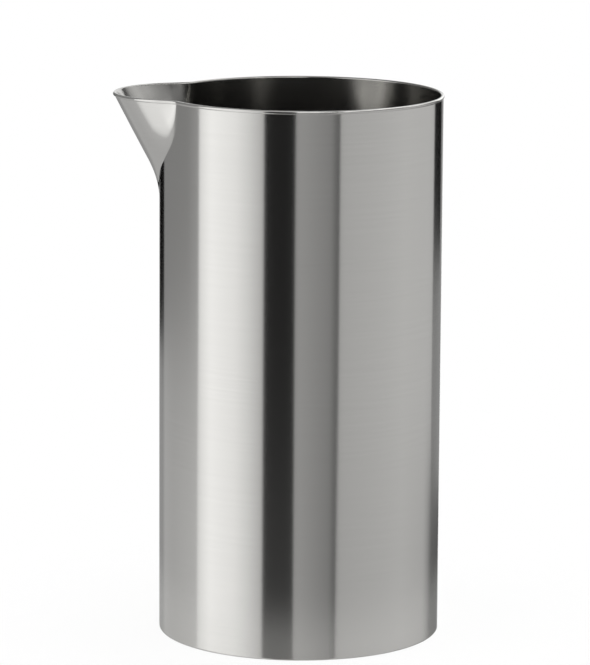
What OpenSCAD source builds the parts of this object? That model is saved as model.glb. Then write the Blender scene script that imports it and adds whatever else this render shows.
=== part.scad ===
// Cream jug: a satin steel tube with a welded base and a pouring spout let into its rim.
// Millimetres. The origin is the centre of the underside, +Z is up and the spout points along -X.

/* [Body] */
// Outside diameter of the tube
jug_d = 50; // [40:0.5:70]
// Height of the rim above the table
jug_h = 96.4; // [70:0.1:140]
// Thickness of the steel sheet of the wall and the spout
wall_t = 0.5; // [0.4:0.05:1.2]
// How far the rolled lip stands proud of the outside face of the wall
lip_proud = 0.15; // [0.05:0.01:0.3]
// Radius of the rounded lower edge of the tube
foot_r = 0.4; // [0.2:0.05:1]

/* [Spout] */
// How far the tip of the spout stands out from the wall at the rim
spout_reach = 8.3; // [5:0.1:11]
// Radius of the round front of the spout at the rim
spout_r = 13; // [10:0.1:15]
// Radius of the round front of the spout at its foot
toe_r = 3; // [2.5:0.1:9]
// Slope of the front of the spout from upright, in degrees
spout_slope = 27.5; // [20:0.5:35]
// Depth of the soft fold where the spout grows out of the wall at its foot
foot_fold = 2; // [0.8:0.1:2.5]
// Depth of the soft fold where the spout meets the wall at the rim
rim_fold = 2.4; // [1:0.1:3]
// Plain border of wall left round the pressed form on the spout panel
spout_border = 1.6; // [1.5:0.1:3]
// Thickness of the weld seam round the spout panel, square to the cut
seam_w = 0.4; // [0.3:0.05:0.8]
// Length of wall below the lip over which the cut runs straight up to the rim
cut_end = 0.5; // [0.3:0.1:2]

/* [Base] */
// Thickness of the base disc
base_t = 1; // [0.8:0.1:2]
// Radial gap between the base disc and the tube, closed by the weld above it
base_gap = 0.05; // [0.02:0.01:0.1]
// Height and width of the weld fillet in the inside corner
fillet_leg = 1; // [0.5:0.1:2]

/* [Hidden] */
$fn = 128;

wall_steel = "#C9C9C5";
base_steel = "#BDBDB9";
weld_steel = "#B1B1AC";

// Tube and lip
wall_r = jug_d / 2;
bore_r = wall_r - wall_t;
lip_r = (wall_t + lip_proud) / 2;
lip_z = jug_h - lip_r;
// Depth of the lip's centre below the outside face, and the turns of the lip from that face to the inside
lip_depth = lip_r - lip_proud;
lip_steps = 11;
lip_start = -acos(lip_depth / lip_r);
lip_turns = [for (i = [0:lip_steps]) lip_start + (180 - lip_start) * i / lip_steps];
// Least flat left inside the rounded lower edge
edge_land = 0.1;
edge_r = min(foot_r, wall_t - edge_land);
edge_steps = 10;

// The front line of the spout comes in by this much for each unit of depth below the rim
front_rise = tan(spout_slope);
// Height at which the bare front comes out of the bare wall
foot_z = jug_h - spout_reach / front_rise;

// The wall is cut along an upright cone round the spout, which clears both folds and the border
cut_axis = wall_r + spout_reach - spout_r;
panel_grow = max(foot_fold, rim_fold) + spout_border;
window_grow = panel_grow + seam_w / cos(spout_slope);
// Just below the lip the cut turns straight up to the rim, at these angles from the centre line
cut_end_z = jug_h - 2 * lip_r - cut_end;
panel_half = cut_half(panel_grow);
window_half = panel_half + seam_w / wall_r * 180 / PI;

// Fineness of the pressed sheet
columns = 48;
rows = 20;
probe_angle = 0.05;
probe_z = 0.01;
clear = 2;

// Angle from the centre line at which the cut's cone reaches the foot of its upright end
function cut_half(grow) =
    let(radius = spout_r + grow - (jug_h - cut_end_z) * front_rise)
    acos((wall_r ^ 2 + cut_axis ^ 2 - radius ^ 2) / (2 * wall_r * cut_axis));

// Height of the panel's edge, at an angle from the centre line and a distance from the tube's axis
function panel_foot(angle, from_axis) =
    let(away = sqrt(from_axis ^ 2 + cut_axis ^ 2 - 2 * from_axis * cut_axis * cos(angle)))
    jug_h - (spout_r + panel_grow - away) / front_rise;

// Depth of the fold at a height, which grows from the foot of the spout to the rim
function fold(z) =
    foot_fold + (rim_fold - foot_fold) * max(0, min(1, (z - foot_z) / (jug_h - foot_z)));

// Radius of the round front at a height, which narrows to the foot along a smooth bow
function front_r(z) =
    let(
        share = max(0, min(1, (jug_h - z) / (jug_h - foot_z))),
        bow = share ^ 4 * (3 - 2 * share ^ 2)
    )
    spout_r - (spout_r - toe_r) * bow;

// How far the bare front stands out of the wall, at an angle from the spout's centre line
function front_stand(angle, z) =
    let(
        radius = front_r(z),
        axis = wall_r + spout_reach - (jug_h - z) * front_rise - radius,
        aside = axis * sin(angle)
    )
    radius <= abs(aside)
        ? -fold(z)
        : axis * cos(angle) + sqrt(radius ^ 2 - aside ^ 2) - wall_r;

// The front eased into the wall by a parabola as deep as the fold
function swell(angle, z) =
    let(stand = front_stand(angle, z), ease = fold(z))
    stand <= -ease ? 0
    : stand >= ease ? stand
    : (stand + ease) ^ 2 / (4 * ease);

function face_r(angle, z) = wall_r + swell(angle, z);

// Slopes of the face round the wall and up the wall
function slope_round(angle, z) =
    (face_r(angle + probe_angle, z) - face_r(angle - probe_angle, z))
    / (2 * probe_angle * PI / 180 * face_r(angle, z));
function slope_up(angle, z) =
    (face_r(angle, z + probe_z) - face_r(angle, z - probe_z)) / (2 * probe_z);

// Sheet thickness met along a radius, per unit of true thickness
function slant(angle, z) = sqrt(1 + slope_round(angle, z) ^ 2 + slope_up(angle, z) ^ 2);

// Directions out from the axis and round the wall
function outward(angle) = [-cos(angle), sin(angle), 0];
function round_wall(angle) = [sin(angle), cos(angle), 0];

// A point of the pressed sheet, at a depth below its outside face
function sheet_point(angle, z, depth) =
    (face_r(angle, z) - depth * slant(angle, z)) * outward(angle) + [0, 0, z];

function unit(v) = v / norm(v);

// The rolled lip: an arc square to the sheet, from its outside face over to its inside face
function lip_arc(angle) =
    let(
        centre = sheet_point(angle, lip_z, lip_depth),
        bend = slope_round(angle, lip_z),
        square_out = unit(outward(angle) - bend * round_wall(angle) - [0, 0, slope_up(angle, lip_z)]),
        along = unit(round_wall(angle) + bend * outward(angle)),
        up = cross(along, square_out)
    )
    [for (turn = lip_turns) centre + lip_r * (cos(turn) * square_out + sin(turn) * up)];

// Heights of the rows of points up one face of a slice, from the panel's edge to the lip
function row_heights(angle, from_axis) =
    let(foot = panel_foot(angle, from_axis), top = lip_z - lip_r)
    [for (i = [0:rows]) foot + (top - foot) * i / rows];

// One upright slice through the pressed sheet: up the outside, over the lip, down the inside
function sheet_slice(angle) =
    let(inside = row_heights(angle, bore_r))
    concat(
        [for (z = row_heights(angle, wall_r)) sheet_point(angle, z, 0)],
        lip_arc(angle),
        [for (i = [rows:-1:0]) sheet_point(angle, inside[i], wall_t)]
    );

// The whole wall of the tube, with its rolled lip and rounded foot
module plain_tube() {
    foot = [
        for (i = [0:edge_steps])
            let(turn = -90 + 90 * i / edge_steps)
            [wall_r - edge_r + edge_r * cos(turn), edge_r + edge_r * sin(turn)]
    ];
    lip = [
        for (turn = lip_turns)
            [wall_r - lip_depth + lip_r * cos(turn), lip_z + lip_r * sin(turn)]
    ];
    rotate_extrude()
        polygon(concat([[bore_r, 0]], foot, lip));
}

// Block that cuts the wall round the spout: a cone, kept between two upright planes
module wall_cut(grow, half_angle) {
    rim_r = spout_r + grow;
    depth = rim_r / front_rise;
    intersection() {
        translate([-cut_axis, 0, jug_h - depth])
            cylinder(h = depth + clear, r1 = 0, r2 = rim_r + clear * front_rise);
        rotate([0, 0, 180 - half_angle])
            rotate_extrude(angle = 2 * half_angle)
                translate([bore_r - clear, jug_h - depth])
                    square([wall_t + 2 * clear, depth + clear]);
    }
}

// Tube with its rolled lip, rounded foot and the window for the spout panel
module body_tube() {
    color(wall_steel)
        difference() {
            plain_tube();
            wall_cut(window_grow, window_half);
        }
}

// Spout panel pressed from sheet, with its lip level with the rim
module spout() {
    slices = [for (c = [0:columns]) sheet_slice(-panel_half + 2 * panel_half * c / columns)];
    around = len(slices[0]);
    skin = [
        for (c = [0:columns - 1], i = [0:around - 1])
            let(next = (i + 1) % around)
            [c * around + i, (c + 1) * around + i, (c + 1) * around + next, c * around + next]
    ];
    last = columns * around;
    ends = [
        for (i = [0:around / 2 - 2])
            each [
                [i, i + 1, around - 2 - i, around - 1 - i],
                [last + i, last + around - 1 - i, last + around - 2 - i, last + i + 1]
            ]
    ];
    color(wall_steel)
        polyhedron(points = [for (slice = slices) each slice], faces = concat(skin, ends));
}

// Weld seam round the spout panel, ground flush on both faces
module spout_weld() {
    color(wall_steel)
        difference() {
            intersection() {
                plain_tube();
                wall_cut(window_grow, window_half);
            }
            wall_cut(panel_grow, panel_half);
        }
}

// Base disc, flush with the tube's lower end
module base_disc() {
    color(base_steel)
        cylinder(h = base_t, r = bore_r - base_gap);
}

// Weld fillet that seals the base disc to the tube
module base_weld() {
    color(weld_steel)
        rotate_extrude()
            polygon([
                [bore_r, base_t],
                [bore_r, base_t + fillet_leg],
                [bore_r - fillet_leg, base_t]
            ]);
}

body_tube();
spout();
spout_weld();
base_disc();
base_weld();
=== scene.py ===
"""Cream jug in satin-brushed steel: the looks round its packed construction.

The jug is a tube with a rolled lip, a pouring spout welded into its rim and a base welded into its
lower end. Every piece here takes the place of one construction node, in the same frame. Sizes are
in millimetres and angles in degrees until a mesh is made.
"""

import logging
import math
from dataclasses import dataclass
from enum import Enum
from functools import cached_property

import bpy
import numpy as np
from mathutils import Matrix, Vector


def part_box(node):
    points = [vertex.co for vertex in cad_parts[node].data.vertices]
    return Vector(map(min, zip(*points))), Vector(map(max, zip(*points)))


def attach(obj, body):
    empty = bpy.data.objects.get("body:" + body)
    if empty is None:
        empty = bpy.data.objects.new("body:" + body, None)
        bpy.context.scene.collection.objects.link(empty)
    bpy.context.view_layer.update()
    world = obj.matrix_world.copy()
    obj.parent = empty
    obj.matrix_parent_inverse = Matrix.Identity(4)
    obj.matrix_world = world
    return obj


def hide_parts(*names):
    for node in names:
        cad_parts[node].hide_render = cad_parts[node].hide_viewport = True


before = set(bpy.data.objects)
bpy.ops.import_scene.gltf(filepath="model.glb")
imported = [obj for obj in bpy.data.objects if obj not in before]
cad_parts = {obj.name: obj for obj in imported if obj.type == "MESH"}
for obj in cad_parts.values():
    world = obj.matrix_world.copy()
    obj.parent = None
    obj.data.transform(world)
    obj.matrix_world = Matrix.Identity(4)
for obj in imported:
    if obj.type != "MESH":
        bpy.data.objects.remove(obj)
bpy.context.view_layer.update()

LOG = logging.getLogger("cream_jug")
MM = 0.001
UP = np.array([0.0, 0.0, 1.0])
Grid = tuple[np.ndarray, np.ndarray]


class Face(Enum):
    """The two faces of the sheet, numbered by the finish that they take."""

    OUTSIDE = 0
    INSIDE = 1


class Grain(Enum):
    """The way that the grain of a finish runs."""

    ROUND_THE_WALL = "round the wall"
    ROUND_THE_CENTRE = "round the centre"


@dataclass(frozen=True)
class JugSizes:
    """Driving sizes of the jug, the same as its construction has."""

    diameter: float = 50.0
    height: float = 96.4
    wall: float = 0.5
    lip_proud: float = 0.15
    foot_round: float = 0.4
    spout_reach: float = 8.3
    spout_round: float = 13.0
    spout_toe: float = 3.0
    spout_slope: float = 27.5
    foot_fold: float = 2.0
    rim_fold: float = 2.4
    spout_border: float = 1.6
    seam: float = 0.4
    cut_end: float = 0.5
    base: float = 1.0
    base_gap: float = 0.05
    fillet: float = 1.0

    @cached_property
    def wall_r(self) -> float:
        """Outside radius of the tube."""
        return self.diameter / 2

    @cached_property
    def bore_r(self) -> float:
        """Inside radius of the tube."""
        return self.wall_r - self.wall

    @cached_property
    def lip_r(self) -> float:
        """Radius of the rolled lip's section."""
        return (self.wall + self.lip_proud) / 2

    @cached_property
    def lip_depth(self) -> float:
        """Depth of the lip's centre below the outside face of the sheet."""
        return self.lip_r - self.lip_proud

    @cached_property
    def lip_z(self) -> float:
        """Height of the centre of the rolled lip."""
        return self.height - self.lip_r

    @cached_property
    def face_top(self) -> float:
        """Height at which the faces of the sheet end below the lip."""
        return self.lip_z - self.lip_r

    @cached_property
    def front_rise(self) -> float:
        """How far the spout's front line comes in for each unit of depth below the rim."""
        return math.tan(math.radians(self.spout_slope))

    @cached_property
    def spout_foot(self) -> float:
        """Height at which the spout's bare front comes out of the bare wall."""
        return self.height - self.spout_reach / self.front_rise

    @cached_property
    def cut_axis(self) -> float:
        """Distance from the jug's axis to that of the upright cone which cuts the wall."""
        return self.wall_r + self.spout_reach - self.spout_round

    @cached_property
    def panel_grow(self) -> float:
        """How much wider than the spout the cone is that cuts the panel."""
        return max(self.foot_fold, self.rim_fold) + self.spout_border

    @cached_property
    def window_grow(self) -> float:
        """How much wider than the spout the cone is that cuts the window."""
        return self.panel_grow + self.seam / math.cos(math.radians(self.spout_slope))

    @cached_property
    def panel_half(self) -> float:
        """Half the angle that the panel takes at the rim.

        Returns:
            The angle in radians, where the cut turns straight up to the rim.
        """
        end_depth = 2 * self.lip_r + self.cut_end
        radius = self.spout_round + self.panel_grow - end_depth * self.front_rise
        both = self.wall_r**2 + self.cut_axis**2
        return math.acos((both - radius**2) / (2 * self.wall_r * self.cut_axis))

    @cached_property
    def window_half(self) -> float:
        """Half the angle that the window takes at the rim, in radians."""
        return self.panel_half + self.seam / self.wall_r


class PressedSheet:
    """The sheet of the wall: a plain tube with the front of the spout eased into it.

    Angles are in radians from the middle of the spout, which points along -X.
    """

    PROBE_ANGLE = 1e-3
    PROBE_Z = 0.01
    LIP_STEPS = 15

    def __init__(self, sizes: JugSizes) -> None:
        """Keeps the sizes that the sheet is made to."""
        self.sizes = sizes

    @staticmethod
    def outward(angle: np.ndarray) -> np.ndarray:
        """Direction out from the jug's axis."""
        return np.stack([-np.cos(angle), np.sin(angle), np.zeros_like(angle)], axis=-1)

    @staticmethod
    def round_wall(angle: np.ndarray) -> np.ndarray:
        """Direction round the wall, in which the angle grows."""
        return np.stack([np.sin(angle), np.cos(angle), np.zeros_like(angle)], axis=-1)

    def cut_foot(self, angle: np.ndarray, face: Face, grow: float) -> np.ndarray:
        """Height at which a grown cone cuts one face of the plain tube.

        Args:
            angle: angles from the middle of the spout.
            face: face of the sheet that is cut.
            grow: how much wider than the spout the cutting cone is.

        Returns:
            One height for each angle.
        """
        s = self.sizes
        radius = s.wall_r if face is Face.OUTSIDE else s.bore_r
        away = np.sqrt(radius**2 + s.cut_axis**2 - 2 * radius * s.cut_axis * np.cos(angle))
        return s.height - (s.spout_round + grow - away) / s.front_rise

    def swell(self, angle: np.ndarray, z: np.ndarray) -> np.ndarray:
        """How far the outside face stands out from the plain tube.

        Args:
            angle: angles from the middle of the spout.
            z: heights, which broadcast with the angles.

        Returns:
            The bare front's stand where it is clear of the wall, eased in by a parabola.
        """
        s = self.sizes
        sunk = (s.height - z) / (s.height - s.spout_foot)
        share = np.clip(sunk, 0, 1)
        ease = s.rim_fold + (s.foot_fold - s.rim_fold) * share
        bow = share**4 * (3 - 2 * share**2)
        front = s.spout_round - (s.spout_round - s.spout_toe) * bow
        axis = s.wall_r + s.spout_reach * (1 - sunk) - front
        aside = axis * np.sin(angle)
        reach = np.sqrt(np.maximum(front**2 - aside**2, 0))
        bare = axis * np.cos(angle) + reach - s.wall_r
        stand = np.where(front > np.abs(aside), bare, -ease)
        eased = np.maximum(stand + ease, 0) ** 2 / (4 * ease)
        return np.where(stand >= ease, stand, eased)

    def radius(self, angle: np.ndarray, z: np.ndarray, face: Face) -> np.ndarray:
        """Distance of a face of the sheet from the jug's axis.

        Args:
            angle: angles from the middle of the spout.
            z: heights, which broadcast with the angles.
            face: face of the sheet.

        Returns:
            One distance for each point.
        """
        outside = self.sizes.wall_r + self.swell(angle, z)
        if face is Face.OUTSIDE:
            return outside
        around, up = self.slopes(angle, z, Face.OUTSIDE)
        return outside - self.sizes.wall * np.sqrt(1 + around**2 + up**2)

    def slopes(self, angle: np.ndarray, z: np.ndarray, face: Face) -> Grid:
        """Slopes of a face round the wall and up the wall.

        Args:
            angle: angles from the middle of the spout.
            z: heights, which broadcast with the angles.
            face: face of the sheet.

        Returns:
            The two slopes, one number each for each point.
        """
        step = self.PROBE_ANGLE
        here = self.radius(angle, z, face)
        turned = self.radius(angle + step, z, face) - self.radius(angle - step, z, face)
        step_z = self.PROBE_Z
        raised = self.radius(angle, z + step_z, face) - self.radius(angle, z - step_z, face)
        return turned / (2 * step * here), raised / (2 * step_z)

    def normal(self, angle: np.ndarray, z: np.ndarray, face: Face) -> np.ndarray:
        """Direction square to a face, away from the steel.

        Args:
            angle: angles from the middle of the spout.
            z: heights, which broadcast with the angles.
            face: face of the sheet.

        Returns:
            One unit vector for each point.
        """
        around, up = self.slopes(angle, z, face)
        square = self.outward(angle + 0 * z) - around[..., None] * self.round_wall(angle + 0 * z)
        square = square - up[..., None] * UP
        square /= np.linalg.norm(square, axis=-1, keepdims=True)
        return square if face is Face.OUTSIDE else -square

    def face_grid(self, angles: np.ndarray, heights: np.ndarray, face: Face) -> Grid:
        """A stretch of one face of the sheet.

        Args:
            angles: angles of the columns.
            heights: heights of the rows, one row of numbers for each column.
            face: face of the sheet.

        Returns:
            Points and normals, as columns by rows.
        """
        angle = angles[:, None]
        out = self.outward(angle + 0 * heights)
        points = self.radius(angle, heights, face)[..., None] * out + heights[..., None] * UP
        return points, self.normal(angle, heights, face)

    def lip_grid(self, angles: np.ndarray) -> Grid:
        """The rolled lip, from the outside face over to the inside face.

        Args:
            angles: angles of the columns.

        Returns:
            Points and normals, as columns by steps of the roll.
        """
        s = self.sizes
        z = np.full_like(angles, s.lip_z)
        around, _ = self.slopes(angles, z, Face.OUTSIDE)
        square = self.normal(angles, z, Face.OUTSIDE)
        along = self.round_wall(angles) + around[:, None] * self.outward(angles)
        along /= np.linalg.norm(along, axis=-1, keepdims=True)
        rise = np.cross(along, square)
        outside = self.radius(angles, z, Face.OUTSIDE)
        sunk = (outside - self.radius(angles, z, Face.INSIDE)) * s.lip_depth / s.wall
        centre = (outside - sunk)[:, None] * self.outward(angles) + z[:, None] * UP
        start = -math.acos(s.lip_depth / s.lip_r)
        turn = np.linspace(start, math.pi, self.LIP_STEPS + 1)[None, :, None]
        normals = np.cos(turn) * square[:, None] + np.sin(turn) * rise[:, None]
        return centre[:, None] + s.lip_r * normals, normals


class Skin:
    """A closed surface gathered from grids of points, each with its own true normals."""

    WELD = 1e-5

    def __init__(self) -> None:
        """Starts with nothing gathered."""
        self.corners: list[np.ndarray] = []
        self.normals: list[np.ndarray] = []
        self.finishes: list[np.ndarray] = []

    @staticmethod
    def quads(grid: np.ndarray) -> np.ndarray:
        """The four corners of each cell of a grid."""
        cells = [grid[:-1, :-1], grid[1:, :-1], grid[1:, 1:], grid[:-1, 1:]]
        return np.stack(cells, axis=2).reshape(-1, 4, 3)

    def add(self, points: np.ndarray, normals: np.ndarray, face: Face = Face.OUTSIDE) -> None:
        """Adds a grid of quads, turned to face the way of their normals.

        Args:
            points: points of the grid, in millimetres.
            normals: a normal for each point, or one for all.
            face: face of the sheet whose finish the quads take.
        """
        corners = self.quads(points)
        turned = self.quads(np.broadcast_to(normals, points.shape))
        faces = np.cross(corners[:, 2] - corners[:, 0], corners[:, 3] - corners[:, 1])
        if np.sum(faces * turned.mean(axis=1)) < 0:
            corners = corners[:, ::-1]
            turned = turned[:, ::-1]
        self.corners.append(corners)
        self.normals.append(turned)
        self.finishes.append(np.full(len(corners), face.value))

    def add_strip(self, first: np.ndarray, second: np.ndarray, towards: np.ndarray) -> None:
        """Adds a strip between two lines of points, shaded by its own faces.

        Args:
            first: points of one edge of the strip.
            second: points of the other edge.
            towards: a direction that the strip faces, one for all or one for each point.
        """
        along = np.gradient(first, axis=0)
        square = np.cross(along, second - first)
        facing = np.sum(square * towards, axis=-1, keepdims=True)
        square = square * np.where(facing < 0, -1, 1)
        square /= np.linalg.norm(square, axis=-1, keepdims=True)
        self.add(np.stack([first, second], axis=1), np.stack([square, square], axis=1))

    def build(self, name: str) -> bpy.types.Object:
        """Makes the mesh, with equal points joined and the true normals on its corners.

        Args:
            name: name of the piece.

        Returns:
            The new object, in metres.
        """
        corners = np.concatenate(self.corners)
        normals = np.concatenate(self.normals)
        finishes = np.concatenate(self.finishes).tolist()
        keys = np.round(corners.reshape(-1, 3) / self.WELD).astype(np.int64)
        _, first, index = np.unique(keys, axis=0, return_index=True, return_inverse=True)
        points = corners.reshape(-1, 3)[first] * MM
        faces = []
        turned = []
        taken = []
        for quad, square, finish in zip(index.reshape(-1, 4).tolist(), normals, finishes):
            kept = [i for i in range(4) if quad[i] != quad[i - 1]]
            if len(kept) > 2:
                faces.append([quad[i] for i in kept])
                turned.extend(square[i] for i in kept)
                taken.append(finish)
        mesh = bpy.data.meshes.new(name)
        mesh.from_pydata(points.tolist(), [], faces)
        mesh.shade_smooth()
        mesh.polygons.foreach_set("material_index", taken)
        mesh.normals_split_custom_set(turned)
        piece = bpy.data.objects.new(name, mesh)
        bpy.context.scene.collection.objects.link(piece)
        return piece


def linear(colour: str) -> tuple[float, float, float, float]:
    """Turns an sRGB hex colour to linear.

    Args:
        colour: six hex digits after a hash mark.

    Returns:
        Linear red, green and blue, and an alpha of 1.
    """
    shares = [int(colour[i : i + 2], 16) / 255 for i in (1, 3, 5)]
    red, green, blue = [c / 12.92 if c <= 0.04045 else ((c + 0.055) / 1.055) ** 2.4 for c in shares]
    return red, green, blue, 1.0


def add_node(
    tree: bpy.types.NodeTree,
    kind: str,
    inputs: dict[str | int, object] | None = None,
    **settings: object,
) -> bpy.types.Node:
    """Adds a node with its settings and links.

    Args:
        tree: node tree that the node goes into.
        kind: type of the node.
        inputs: for each input, a value or the output that feeds it.
        settings: properties of the node.

    Returns:
        The new node.
    """
    node = tree.nodes.new(kind)
    for name, value in settings.items():
        setattr(node, name, value)
    for name, value in (inputs or {}).items():
        if isinstance(value, bpy.types.NodeSocket):
            tree.links.new(value, node.inputs[name])
        else:
            node.inputs[name].default_value = value
    return node


@dataclass(frozen=True)
class SteelFinish:
    """A finish of stainless steel, with the grain that its making leaves.

    Each stroke of a brush reflects sharply along itself and spreads light wide across itself. The
    eye sees crisp edges along the grain and long soft streaks of light square to it.
    """

    name: str
    bright: str
    dull: str
    roughness: float
    roughness_swing: float
    anisotropy: float
    grain: Grain
    stroke_width: float
    stroke_length: float
    stroke_depth: float

    CROSSWISE = 0.25
    STROKE_DETAIL = 3.0

    def material(self) -> bpy.types.Material:
        """Makes the material.

        Returns:
            A metal whose tone, roughness and relief follow the strokes of the brush.
        """
        made = bpy.data.materials.new(self.name)
        made.use_nodes = True
        tree = made.node_tree
        tree.nodes.clear()
        strokes = self.strokes(tree)
        tone = add_node(
            tree,
            "ShaderNodeMix",
            {0: strokes, 6: linear(self.dull), 7: linear(self.bright)},
            data_type="RGBA",
        )
        rough = add_node(
            tree,
            "ShaderNodeMapRange",
            {
                "Value": strokes,
                "To Min": self.roughness + self.roughness_swing,
                "To Max": self.roughness - self.roughness_swing,
            },
        )
        relief = add_node(
            tree,
            "ShaderNodeBump",
            {"Height": strokes, "Strength": 1.0, "Distance": self.stroke_depth * MM},
        )
        steel = add_node(
            tree,
            "ShaderNodeBsdfPrincipled",
            {
                "Base Color": tone.outputs[2],
                "Metallic": 1.0,
                "Roughness": rough.outputs["Result"],
                "Anisotropic": self.anisotropy,
                "Anisotropic Rotation": self.CROSSWISE,
                "Normal": relief.outputs["Normal"],
                "Tangent": self.stroke_direction(tree),
            },
        )
        add_node(tree, "ShaderNodeOutputMaterial", {"Surface": steel.outputs["BSDF"]})
        return made

    def stroke_direction(self, tree: bpy.types.NodeTree) -> bpy.types.NodeSocket:
        """The direction of the strokes on the surface.

        Args:
            tree: node tree of the material.

        Returns:
            An output with the direction, in which the tangent runs.
        """
        if self.grain is Grain.ROUND_THE_CENTRE:
            return add_node(tree, "ShaderNodeTangent", direction_type="RADIAL", axis="Z").outputs[0]
        square = add_node(tree, "ShaderNodeNewGeometry").outputs["Normal"]
        level = {0: tuple(UP), 1: square}
        return add_node(tree, "ShaderNodeVectorMath", level, operation="CROSS_PRODUCT").outputs[0]

    def strokes(self, tree: bpy.types.NodeTree) -> bpy.types.NodeSocket:
        """A noise drawn out along the strokes.

        Args:
            tree: node tree of the material.

        Returns:
            An output from 0 to 1, which changes fast across the strokes and slowly along them.
        """
        place = add_node(tree, "ShaderNodeTexCoord").outputs["Object"]
        across = 1 / (self.stroke_width * MM)
        along = 1 / (self.stroke_length * MM)
        if self.grain is Grain.ROUND_THE_CENTRE:
            flat = add_node(
                tree, "ShaderNodeVectorMath", {0: place, 1: (1, 1, 0)}, operation="MULTIPLY"
            )
            far = add_node(
                tree, "ShaderNodeVectorMath", {0: flat.outputs[0]}, operation="LENGTH"
            ).outputs["Value"]
            ring = add_node(tree, "ShaderNodeMath", {0: far, 1: across}, operation="MULTIPLY")
            spread = add_node(
                tree, "ShaderNodeVectorMath", {0: flat.outputs[0], 3: along}, operation="SCALE"
            )
            parts = add_node(tree, "ShaderNodeSeparateXYZ", {0: spread.outputs[0]})
            drawn = add_node(
                tree,
                "ShaderNodeCombineXYZ",
                {0: parts.outputs[0], 1: parts.outputs[1], 2: ring.outputs[0]},
            ).outputs[0]
        else:
            drawn = add_node(
                tree,
                "ShaderNodeVectorMath",
                {0: place, 1: (along, along, across)},
                operation="MULTIPLY",
            ).outputs[0]
        noise = add_node(
            tree,
            "ShaderNodeTexNoise",
            {"Vector": drawn, "Scale": 1.0, "Detail": self.STROKE_DETAIL},
        )
        return noise.outputs["Fac"]


# The wall was brushed round with a fine belt after welding. Strokes of such a belt lie about 0.06 mm
# apart, too fine to show here, so they are drawn 0.3 mm apart and faint.
BRUSHED_WALL = SteelFinish(
    name="stainless_steel_belt_brushed_round",
    bright="#DEDDDA",
    dull="#D9D8D5",
    roughness=0.145,
    roughness_swing=0.008,
    anisotropy=0.75,
    grain=Grain.ROUND_THE_WALL,
    stroke_width=0.3,
    stroke_length=14.0,
    stroke_depth=0.0003,
)

# The inside was left as the sheet came from the mill: pickled and rolled bright. It is smooth, so it
# mirrors the spout softly. Its grey is darker than the same steel outside: partly the mill finish
# and partly painted shade, which keeps the inside and the bottom dark. The rolls leave no grain to
# see, only faint streaks about a millimetre apart.
MILL_BORE = SteelFinish(
    name="stainless_steel_mill_rolled",
    bright="#B5B4B1",
    dull="#B0AFAC",
    roughness=0.168,
    roughness_swing=0.005,
    anisotropy=0.0,
    grain=Grain.ROUND_THE_WALL,
    stroke_width=1.2,
    stroke_length=30.0,
    stroke_depth=0.0002,
)

# The base was turned on a lathe and left with rings about 0.2 mm apart, drawn 0.5 mm apart to show.
TURNED_BASE = SteelFinish(
    name="stainless_steel_fine_turned",
    bright="#D6D5D2",
    dull="#C4C3C0",
    roughness=0.26,
    roughness_swing=0.03,
    anisotropy=0.85,
    grain=Grain.ROUND_THE_CENTRE,
    stroke_width=0.5,
    stroke_length=30.0,
    stroke_depth=0.0015,
)

# The weld in the bottom corner was dressed by hand with a coarser wheel, which leaves it duller.
DRESSED_WELD = SteelFinish(
    name="stainless_steel_dressed_weld",
    bright="#CDCBC6",
    dull="#B4B2AC",
    roughness=0.34,
    roughness_swing=0.05,
    anisotropy=0.5,
    grain=Grain.ROUND_THE_WALL,
    stroke_width=0.35,
    stroke_length=1.6,
    stroke_depth=0.004,
)


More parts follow.
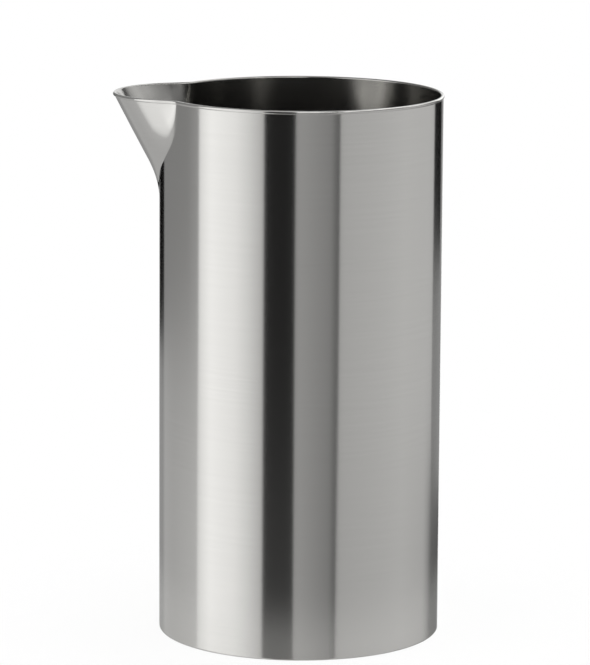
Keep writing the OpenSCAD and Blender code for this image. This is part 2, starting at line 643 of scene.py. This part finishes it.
@dataclass(frozen=True)
class JugPiece:
    """A piece of the jug, which stands for one node of the construction."""

    sizes: JugSizes
    sheet: PressedSheet

    NAME = ""
    NODE = ""
    SLOT = ""
    FINISHES = (BRUSHED_WALL, MILL_BORE)

    def skin(self) -> Skin:
        """Gathers the surface of the piece."""
        raise NotImplementedError

    def build(self) -> bpy.types.Object:
        """Makes the piece and puts it on the jug.

        Returns:
            The new object, dressed and riding on the jug.
        """
        piece = self.skin().build(self.NAME)
        self.dress(piece)
        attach(piece, "root")
        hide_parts(self.NODE)
        return piece

    def dress(self, piece: bpy.types.Object) -> None:
        """Gives the piece its finishes, each made once and shared.

        Args:
            piece: object of the piece.
        """
        for finish in self.FINISHES:
            made = bpy.data.materials.get(finish.name)
            piece.data.materials.append(made or finish.material())

    def level_rows(self, low: np.ndarray, high: np.ndarray, rows: int) -> np.ndarray:
        """Heights of evenly spaced rows between two edges, for each column."""
        share = np.linspace(0, 1, rows + 1)[None, :]
        return low[:, None] + (high - low)[:, None] * share

    def add_cap(
        self, skin: Skin, angle: float, feet: dict[Face, float], rows: int, way: int
    ) -> None:
        """Closes the sheet at an upright cut, with the round of the lip.

        Args:
            skin: surface that gets the cap.
            angle: angle of the cut.
            feet: height at which the cut starts on each face.
            rows: rows of points up each face.
            way: 1 if the cap looks the way that the angle grows, -1 if it looks back.
        """
        angles = np.array([angle])
        top = np.array([self.sizes.face_top])
        sides = []
        for face in Face:
            heights = self.level_rows(np.array([feet[face]]), top, rows)
            sides.append(self.sheet.face_grid(angles, heights, face)[0][0])
        roll = self.sheet.lip_grid(angles)[0][0]
        half = len(roll) // 2
        outside = np.concatenate([sides[0], roll[:half]])
        inside = np.concatenate([sides[1], roll[half:][::-1]])
        skin.add(np.stack([outside, inside], axis=1), way * self.sheet.round_wall(angles)[0])

    def add_rim(self, skin: Skin, angles: np.ndarray) -> None:
        """Rolls the lip over the top of both faces, each with its own finish up to the crown.

        Args:
            skin: surface that gets the lip.
            angles: angles of the columns.
        """
        points, normals = self.sheet.lip_grid(angles)
        crown = int(np.argmax(points[0, :, 2]))
        skin.add(points[:, : crown + 1], normals[:, : crown + 1])
        skin.add(points[:, crown:], normals[:, crown:], Face.INSIDE)
        top = np.full((len(angles), 1), self.sizes.face_top)
        for face, step in ((Face.OUTSIDE, 0), (Face.INSIDE, -1)):
            edge, square = self.sheet.face_grid(angles, top, face)
            strip = np.concatenate([edge, points[:, step][:, None]], axis=1)
            skin.add(strip, np.concatenate([square, square], axis=1), face)

    def add_ring(
        self, skin: Skin, profile: np.ndarray, normals: np.ndarray, angles: np.ndarray
    ) -> None:
        """Turns a profile round the jug's axis.

        Args:
            skin: surface that gets the ring.
            profile: distances from the axis and heights.
            normals: the profile's normals, outward and up.
            angles: angles of the columns.
        """
        out = self.sheet.outward(angles)[:, None]
        points = profile[None, :, :1] * out + profile[None, :, 1:] * UP
        skin.add(points, normals[None, :, :1] * out + normals[None, :, 1:] * UP)


@dataclass(frozen=True)
class JugWall(JugPiece):
    """The tube, with its rolled lip, rounded foot and the window for the spout."""

    window_columns: int = 96
    plain_columns: int = 320
    rows: int = 30
    rim_rows: int = 3
    foot_steps: int = 8

    NAME = "jug_wall"
    NODE = "body_tube"
    SLOT = "wall_steel"

    def skin(self) -> Skin:
        """Gathers the tube's two faces, its lip, its foot and the edge of the window.

        Returns:
            The closed surface of the tube.
        """
        s = self.sizes
        skin = Skin()
        half = s.window_half
        window = np.linspace(-half, half, self.window_columns + 1)
        plain = np.linspace(half, 2 * math.pi - half, self.plain_columns + 1)
        edges = []
        feet = {}
        for face, foot in ((Face.OUTSIDE, s.foot_round), (Face.INSIDE, 0.0)):
            cut = self.sheet.cut_foot(window, face, s.window_grow)
            low = self.level_rows(np.full_like(window, foot), cut, self.rows)
            points, normals = self.sheet.face_grid(window, low, face)
            skin.add(points, normals, face)
            edges.append(points[:, -1])
            feet[face] = cut[0]
            side = np.full_like(plain, cut[0])
            below = self.level_rows(np.full_like(plain, foot), side, self.rows)
            above = self.level_rows(side, np.full_like(plain, s.face_top), self.rim_rows)
            skin.add(*self.sheet.face_grid(plain, below, face), face)
            skin.add(*self.sheet.face_grid(plain, above, face), face)
        skin.add_strip(edges[0], edges[1], UP)
        self.add_rim(skin, plain)
        self.add_cap(skin, half, feet, self.rim_rows, -1)
        self.add_cap(skin, -half, feet, self.rim_rows, 1)
        self.add_foot(skin, np.concatenate([window, plain[1:]]))
        return skin

    def add_foot(self, skin: Skin, angles: np.ndarray) -> None:
        """Rounds the tube's lower edge and closes its end.

        Args:
            skin: surface that gets the foot.
            angles: angles of all the columns round the tube.
        """
        s = self.sizes
        turn = np.linspace(-math.pi / 2, 0, self.foot_steps + 1)
        normals = np.stack([np.cos(turn), np.sin(turn)], axis=1)
        centre = np.array([s.wall_r - s.foot_round, s.foot_round])
        self.add_ring(skin, centre + s.foot_round * normals, normals, angles)
        end = np.array([[s.bore_r, 0.0], [s.wall_r - s.foot_round, 0.0]])
        self.add_ring(skin, end, np.array([[0.0, -1.0], [0.0, -1.0]]), angles)


@dataclass(frozen=True)
class PouringSpout(JugPiece):
    """The panel that was pressed to the spout's form, with the lip carried round it."""

    columns: int = 144
    rows: int = 56

    NAME = "pouring_spout"
    NODE = "spout"
    SLOT = "wall_steel"

    def skin(self) -> Skin:
        """Gathers the panel's two faces, its lip and its cut edges.

        Returns:
            The closed surface of the panel.
        """
        s = self.sizes
        skin = Skin()
        half = s.panel_half
        angles = np.linspace(-half, half, self.columns + 1)
        top = np.full_like(angles, s.face_top)
        edges = []
        feet = {}
        for face in Face:
            cut = self.sheet.cut_foot(angles, face, s.panel_grow)
            heights = self.level_rows(cut, top, self.rows)
            points, normals = self.sheet.face_grid(angles, heights, face)
            skin.add(points, normals, face)
            edges.append(points[:, 0])
            feet[face] = cut[0]
        skin.add_strip(edges[0], edges[1], -UP)
        self.add_rim(skin, angles)
        self.add_cap(skin, half, feet, self.rows, 1)
        self.add_cap(skin, -half, feet, self.rows, -1)
        return skin


@dataclass(frozen=True)
class SpoutSeam(JugPiece):
    """The weld round the spout's panel, ground flush and brushed over with the wall."""

    columns: int = 144
    end_columns: int = 2
    rows: int = 2
    rim_rows: int = 3

    NAME = "spout_seam"
    NODE = "spout_weld"
    SLOT = "wall_steel"

    def skin(self) -> Skin:
        """Gathers the seam's flush faces, its edges and its two ends at the rim.

        Returns:
            The closed surface of the seam.
        """
        s = self.sizes
        skin = Skin()
        angles = np.linspace(-s.panel_half, s.panel_half, self.columns + 1)
        lower = []
        upper = []
        panel_feet = {}
        window_feet = {}
        window_end = np.array(s.window_half)
        for face in Face:
            foot = self.sheet.cut_foot(angles, face, s.window_grow)
            head = self.sheet.cut_foot(angles, face, s.panel_grow)
            heights = self.level_rows(foot, head, self.rows)
            points, normals = self.sheet.face_grid(angles, heights, face)
            skin.add(points, normals, face)
            lower.append(points[:, 0])
            upper.append(points[:, -1])
            panel_feet[face] = head[0]
            window_feet[face] = float(self.sheet.cut_foot(window_end, face, s.window_grow))
        skin.add_strip(lower[0], lower[1], -UP)
        skin.add_strip(upper[0], upper[1], UP)
        for side in (-1, 1):
            self.add_end(skin, side, panel_feet)
            self.add_cap(skin, side * s.panel_half, panel_feet, self.rim_rows, -side)
            self.add_full_cap(skin, side, window_feet, panel_feet)
        return skin

    def add_end(self, skin: Skin, side: int, heads: dict[Face, float]) -> None:
        """Carries the seam straight up to the rim at one side, over the lip.

        Args:
            skin: surface that gets the end.
            side: 1 or -1, the side of the spout.
            heads: height on each face at which the seam's inner edge turns up.
        """
        s = self.sizes
        angles = side * np.linspace(s.panel_half, s.window_half, self.end_columns + 1)
        edges = []
        for face in Face:
            foot = self.sheet.cut_foot(angles, face, s.window_grow)
            head = np.full_like(angles, heads[face])
            below = self.sheet.face_grid(angles, self.level_rows(foot, head, self.rows), face)
            skin.add(*below, face)
            edges.append(below[0][:, 0])
            above = self.level_rows(head, np.full_like(angles, s.face_top), self.rim_rows)
            skin.add(*self.sheet.face_grid(angles, above, face), face)
        skin.add_strip(edges[0], edges[1], -UP)
        self.add_rim(skin, angles)

    def add_full_cap(
        self, skin: Skin, side: int, feet: dict[Face, float], heads: dict[Face, float]
    ) -> None:
        """Closes the outer end of the seam at one side, from its lower edge to the lip.

        Args:
            skin: surface that gets the cap.
            side: 1 or -1, the side of the spout.
            feet: height of the seam's lower edge on each face.
            heads: height on each face at which the seam's inner edge turns up.
        """
        angle = side * self.sizes.window_half
        self.add_cap(skin, angle, heads, self.rim_rows, side)
        angles = np.array([angle])
        lines = []
        for face in Face:
            rows = self.level_rows(np.array([feet[face]]), np.array([heads[face]]), self.rows)
            lines.append(self.sheet.face_grid(angles, rows, face)[0][0])
        skin.add(np.stack(lines, axis=1), side * self.sheet.round_wall(angles)[0])


@dataclass(frozen=True)
class JugBase(JugPiece):
    """The turned disc that closes the tube's lower end."""

    columns: int = 256
    rings: int = 24
    edge_break: float = 0.1

    NAME = "jug_base"
    NODE = "base_disc"
    SLOT = "base_steel"
    FINISHES = (TURNED_BASE,)

    def skin(self) -> Skin:
        """Gathers the disc's two faces, its broken edges and its rim.

        Returns:
            The closed surface of the disc.
        """
        s = self.sizes
        skin = Skin()
        angles = np.linspace(0, 2 * math.pi, self.columns + 1)
        far = s.bore_r - s.base_gap
        near = np.linspace(0, far - self.edge_break, self.rings + 1)
        for z, way in ((0.0, -1.0), (s.base, 1.0)):
            disc = np.stack([near, np.full_like(near, z)], axis=1)
            self.add_ring(skin, disc, np.tile([0.0, way], (len(near), 1)), angles)
            bevel = np.array([[far - self.edge_break, z], [far, z - way * self.edge_break]])
            slant = np.array([[1.0, way], [1.0, way]]) / math.sqrt(2)
            self.add_ring(skin, bevel, slant, angles)
        side = np.array([[far, self.edge_break], [far, s.base - self.edge_break]])
        self.add_ring(skin, side, np.array([[1.0, 0.0], [1.0, 0.0]]), angles)
        return skin


@dataclass(frozen=True)
class BaseFillet(JugPiece):
    """The weld in the inside bottom corner, dressed to a hollow fillet."""

    columns: int = 288
    steps: int = 10

    NAME = "base_fillet"
    NODE = "base_weld"
    SLOT = "weld_steel"
    FINISHES = (DRESSED_WELD,)

    def skin(self) -> Skin:
        """Gathers the hollow face and the two legs of the fillet.

        Returns:
            The closed surface of the fillet.
        """
        s = self.sizes
        skin = Skin()
        angles = np.linspace(0, 2 * math.pi, self.columns + 1)
        turn = np.linspace(0, -math.pi / 2, self.steps + 1)
        hollow = np.stack([np.cos(turn), np.sin(turn)], axis=1)
        centre = np.array([s.bore_r - s.fillet, s.base + s.fillet])
        self.add_ring(skin, centre + s.fillet * hollow, -hollow, angles)
        corner = [s.bore_r, s.base]
        upright = np.array([corner, [s.bore_r, s.base + s.fillet]])
        self.add_ring(skin, upright, np.array([[1.0, 0.0], [1.0, 0.0]]), angles)
        level = np.array([corner, [s.bore_r - s.fillet, s.base]])
        self.add_ring(skin, level, np.array([[0.0, -1.0], [0.0, -1.0]]), angles)
        return skin


@dataclass(frozen=True)
class PhotoCamera:
    """The camera as the outline of the jug in the photograph gives it."""

    lens: float = 224.37
    sensor: float = 36.0
    distance: float = 724.1
    height: float = 187.29
    spout_turn: float = 3.45
    yaw: float = -0.0723
    pitch: float = 10.4638
    roll: float = -0.3539

    def turned(self) -> Matrix:
        """Turn about the jug's axis from the camera's own front to the jug's frame."""
        return Matrix.Rotation(math.radians(self.spout_turn), 4, "Z")

    def build(self) -> None:
        """Makes the camera and gives it to the scene."""
        data = bpy.data.cameras.new("photo_camera")
        data.lens = self.lens
        data.sensor_width = self.sensor
        camera = bpy.data.objects.new("photo_camera", data)
        bpy.context.scene.collection.objects.link(camera)
        place = Matrix.Translation((0, -self.distance * MM, self.height * MM))
        aim = Matrix.Rotation(math.radians(-self.yaw), 4, "Z")
        tilt = Matrix.Rotation(math.radians(90 - self.pitch), 4, "X")
        lean = Matrix.Rotation(math.radians(-self.roll), 4, "Z")
        camera.matrix_world = self.turned() @ place @ aim @ tilt @ lean
        bpy.context.scene.camera = camera


@dataclass(frozen=True)
class StudioCard:
    """A sheet of the light tent: a patch of a sphere round the jug.

    The azimuths count from the camera, rightwards, and each comes with its brightness. Low and high
    are the elevations that the card spans, as seen from the tent's centre.
    """

    name: str
    glow: tuple[tuple[float, float], ...]
    low: float
    high: float
    distance: float = 1000.0

    STEP = 1.5

    def build(self, turned: Matrix, centre: float) -> bpy.types.Object:
        """Makes the card, which only reflections and light rays see.

        Args:
            turned: turn from the camera's front to the jug's frame.
            centre: height of the tent's centre.

        Returns:
            The new stage object.
        """
        sides = [azimuth for azimuth, _ in self.glow]
        columns = max(2, round((sides[-1] - sides[0]) / self.STEP))
        rows = max(2, round((self.high - self.low) / self.STEP))
        azimuth = np.linspace(sides[0], sides[-1], columns + 1)
        level = np.interp(azimuth, sides, [glow for _, glow in self.glow])
        height = np.linspace(self.low, self.high, rows + 1)
        a, e = np.meshgrid(np.radians(azimuth), np.radians(height))
        level_share = np.cos(e)
        away = np.stack([level_share * np.sin(a), -level_share * np.cos(a), np.sin(e)], axis=-1)
        points = (self.distance * away + centre * UP).reshape(-1, 3) * MM
        cells = np.arange(points.shape[0]).reshape(a.shape)
        corners = [cells[:-1, :-1], cells[:-1, 1:], cells[1:, 1:], cells[1:, :-1]]
        faces = np.stack(corners, axis=-1).reshape(-1, 4)
        mesh = bpy.data.meshes.new(self.name)
        mesh.from_pydata(points.tolist(), [], faces.tolist())
        glow = mesh.attributes.new("glow", "FLOAT", "POINT")
        glow.data.foreach_set("value", np.broadcast_to(level, a.shape).ravel().astype(np.float32))
        mesh.transform(turned)
        card = bpy.data.objects.new(self.name, mesh)
        card.visible_camera = False
        bpy.context.scene.collection.objects.link(card)
        return card


@dataclass(frozen=True)
class Studio:
    """Plain white surroundings, a pale floor and the cards that the steel reflects."""

    camera: PhotoCamera
    tent_centre: float = 48.0
    floor_radius: float = 75.0
    floor_full: float = 32.0
    floor_cover: float = 0.17
    floor_lift: float = 0.45
    floor_gap: float = 0.02

    FLOOR_SIDES = 128
    WHITE = "#FFFFFF"
    PAPER = "#F4F4F2"
    CARDS = (
        # Left of the camera, the broad soft light in the wall's white band and on the spout's flank
        StudioCard(
            "key_softbox",
            (
                (-91, 0.84), (-88, 0.95), (-84, 1.05), (-77, 1.18),
                (-54, 1.02), (-43, 0.84), (-29.5, 0.55),
            ),
            -20,
            60,
        ),
        StudioCard(
            "key_softbox_low",
            ((-97, 0.66), (-93, 0.8), (-85, 0.93), (-54, 0.96), (-29.5, 0.5)),
            -50,
            -20,
        ),
        # Beside the camera, the black sheet in the wall's dark band
        StudioCard("black_flag", ((-29.5, 0.014), (-4.4, 0.014)), -13.2, 40),
        StudioCard("black_flag_low", ((-29.5, 0.055), (-4.4, 0.055)), -60, -13.2),
        StudioCard("black_flag_top", ((-29.5, 0.3), (-4.4, 0.3)), 40, 60),
        # Right of the camera, the grey card and the long pale card
        StudioCard("grey_card", ((-4.4, 0.385), (24, 0.27), (29, 0.13), (31, 0.05)), -13.2, 20),
        StudioCard("grey_card_low", ((-4.4, 0.4), (24, 0.24), (28, 0.14), (29.8, 0.06)), -60, -13.2),
        StudioCard("pale_card", ((31, 0.5), (92, 0.61), (125, 0.58), (136, 0.53)), -13.2, 5),
        StudioCard("pale_card_low", ((29.8, 0.45), (92, 0.54), (122, 0.48)), -60, -13.2),
        # Far left, the grey beside the spout and the dark flag in the line down the left edge. The
        # high grey hangs a little nearer than the rest, where it laps over the edge of the key
        StudioCard(
            "left_grey_low",
            ((-180, 0.32), (-152, 0.32), (-143, 0.48), (-125, 0.48), (-97, 0.54)),
            -60,
            -20,
        ),
        StudioCard(
            "left_grey",
            ((-180, 0.32), (-152, 0.32), (-143, 0.48), (-125, 0.48), (-91, 0.58)),
            -20,
            -10.2,
        ),
        StudioCard(
            "left_grey_high",
            ((-146.5, 0.25), (-104, 0.265), (-89.8, 0.35)),
            -10.2,
            60,
            distance=990,
        ),
        StudioCard("left_back_flag", ((-166, 0.003), (-146.5, 0.003)), -10.2, 0),
        StudioCard("left_back_top", ((-166, 0.24), (-146.5, 0.24)), 0, 60),
        StudioCard("left_edge_card", ((-180, 0.4), (-166, 0.35)), -10.2, 0),
        # Far right, the flag in the line down the right edge and the shade by the foot
        StudioCard("right_back_low", ((136, 0.29), (168, 0.29)), -13.8, -8.2),
        StudioCard("right_floor_shade", ((122, 0.48), (130, 0.34), (136, 0.18)), -60, -13.2),
        StudioCard("right_corner_shade", ((136, 0.18), (140, 0.12), (168, 0.09)), -60, -13.8),
        StudioCard("right_back_flag", ((136, 0.005), (157, 0.005)), -8.2, 3),
        StudioCard("right_edge_card", ((157, 0.3), (168, 0.3)), -8.2, 3),
        # High on the right, what the insides of the spout and the far wall mirror
        StudioCard("spout_shade", ((136, 0.11), (144, 0.11)), 3, 46),
        StudioCard("spout_tip_card", ((144, 1.2), (168, 1.2)), 3, 46),
        StudioCard("right_low_glow", ((31, 0.34), (45, 0.32), (60, 0.12), (136, 0.12)), 5, 20),
        StudioCard(
            "side_softbox",
            ((31, 0.54), (55, 0.55), (67, 0.72), (82, 1.09), (102, 1.06), (123, 0.68), (136, 0.44)),
            20,
            28,
        ),
        StudioCard("front_shade", ((-4.4, 0.1), (31, 0.1)), 20, 28),
        StudioCard("front_top_card", ((-4.4, 1.8), (15, 1.8)), 28, 46),
        StudioCard("front_top_shade", ((15, 0.1), (45, 0.1)), 28, 36),
        StudioCard("right_top_card", ((15, 2.2), (45, 2.2)), 36, 46),
        StudioCard("right_top_shade", ((45, 0.1), (110, 0.1)), 28, 46),
        StudioCard("back_top_card", ((110, 1.2), (136, 1.2)), 28, 46),
        StudioCard("front_ceiling", ((-4.4, 0.75), (31, 0.75)), 46, 60),
        StudioCard("front_ceiling_shade", ((31, 0.1), (45, 0.1)), 46, 60),
        StudioCard(
            "right_ceiling",
            ((45, 2.4), (75, 2.2), (90, 1.0), (105, 1.0), (125, 2.0), (136, 2.0)),
            46,
            60,
        ),
        # Behind, overhead and under the floor, plain greys for the lip and for views from above
        StudioCard("back_flag", ((168, 0.05), (194, 0.05)), 32, 60),
        StudioCard("roof_card", ((-180, 0.35), (180, 0.35)), 60, 78),
        StudioCard("under_card", ((-180, 0.4), (180, 0.4)), -89, -60),
    )

    def build(self) -> None:
        """Makes the world, the cards and the floor."""
        scene = bpy.context.scene
        scene.view_settings.view_transform = "Standard"
        world = bpy.data.worlds.new("white_surroundings")
        world.use_nodes = True
        world.node_tree.nodes.clear()
        tree = world.node_tree
        shine = {"Color": linear(self.WHITE), "Strength": 1.0}
        white = add_node(tree, "ShaderNodeBackground", shine)
        add_node(tree, "ShaderNodeOutputWorld", {"Surface": white.outputs[0]})
        scene.world = world
        lit = self.card_material()
        for card in self.CARDS:
            card.build(self.camera.turned(), self.tent_centre).data.materials.append(lit)
        self.build_floor()

    def card_material(self) -> bpy.types.Material:
        """Makes the material of the cards.

        Returns:
            A plain light as strong as each card's own brightness.
        """
        made = bpy.data.materials.new("studio_card")
        made.use_nodes = True
        tree = made.node_tree
        tree.nodes.clear()
        level = add_node(tree, "ShaderNodeAttribute", attribute_name="glow").outputs["Fac"]
        light = add_node(tree, "ShaderNodeEmission", {"Strength": level})
        add_node(tree, "ShaderNodeOutputMaterial", {"Surface": light.outputs[0]})
        return made

    def build_floor(self) -> None:
        """Makes the pale floor just under the jug."""
        bpy.ops.mesh.primitive_circle_add(
            vertices=self.FLOOR_SIDES, radius=self.floor_radius * MM, fill_type="NGON"
        )
        floor = bpy.context.object
        floor.name = "pale_floor"
        floor.location.z = -self.floor_gap * MM
        floor.data.materials.append(self.floor_material())

    def floor_material(self) -> bpy.types.Material:
        """Makes the material of the floor.

        Returns:
            Matt pale paper, which takes the jug's shadow and fades out into the white surroundings.
        """
        made = bpy.data.materials.new("matt_pale_floor")
        made.use_nodes = True
        tree = made.node_tree
        tree.nodes.clear()
        place = add_node(tree, "ShaderNodeTexCoord").outputs["Object"]
        far = add_node(tree, "ShaderNodeVectorMath", {0: place}, operation="LENGTH").outputs["Value"]
        cover = add_node(
            tree,
            "ShaderNodeMapRange",
            {
                "Value": far,
                "From Min": self.floor_full * MM,
                "From Max": self.floor_radius * MM,
                "To Min": self.floor_cover,
                "To Max": 0.0,
            },
            interpolation_type="SMOOTHSTEP",
        ).outputs["Result"]
        rays = add_node(tree, "ShaderNodeLightPath").outputs
        direct = {0: rays["Is Camera Ray"], 1: rays["Is Glossy Ray"]}
        seen = add_node(tree, "ShaderNodeMath", direct, operation="MAXIMUM").outputs[0]
        either = {0: seen, 1: rays["Is Transmission Ray"]}
        seen = add_node(tree, "ShaderNodeMath", either, operation="MAXIMUM").outputs[0]
        lifted = {0: seen, 1: self.floor_lift}
        lift = add_node(tree, "ShaderNodeMath", lifted, operation="MULTIPLY").outputs[0]
        paper = add_node(tree, "ShaderNodeBsdfDiffuse", {"Color": linear(self.PAPER)}).outputs[0]
        white = add_node(tree, "ShaderNodeEmission", {"Strength": lift}).outputs[0]
        pale = add_node(tree, "ShaderNodeAddShader", {0: paper, 1: white}).outputs[0]
        clear = add_node(tree, "ShaderNodeBsdfTransparent").outputs[0]
        mixed = add_node(tree, "ShaderNodeMixShader", {0: cover, 1: clear, 2: pale}).outputs[0]
        add_node(tree, "ShaderNodeOutputMaterial", {"Surface": mixed})
        return made


def report(piece: bpy.types.Object, node: str) -> None:
    """Logs a piece and how far its box departs from that of its construction node.

    Args:
        piece: piece of the jug.
        node: node that it stands for.
    """
    corners = np.array([piece.matrix_world @ v.co for v in piece.data.vertices])
    box = np.array([corners.min(axis=0), corners.max(axis=0)])
    departs = np.abs(box - np.array([list(corner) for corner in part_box(node)])).max() / MM
    count = len(piece.data.polygons)
    LOG.info("%s for %s: %d faces, off by %.3f mm", piece.name, node, count, departs)


def main() -> None:
    """Builds the camera, the studio and the jug, piece by piece."""
    logging.basicConfig(level=logging.INFO, format="%(name)s: %(message)s")
    camera = PhotoCamera()
    camera.build()
    Studio(camera).build()
    sizes = JugSizes()
    sheet = PressedSheet(sizes)
    for kind in (JugWall, PouringSpout, SpoutSeam, JugBase, BaseFillet):
        piece = kind(sizes, sheet)
        report(piece.build(), piece.NODE)


if __name__ == "__main__":
    main()
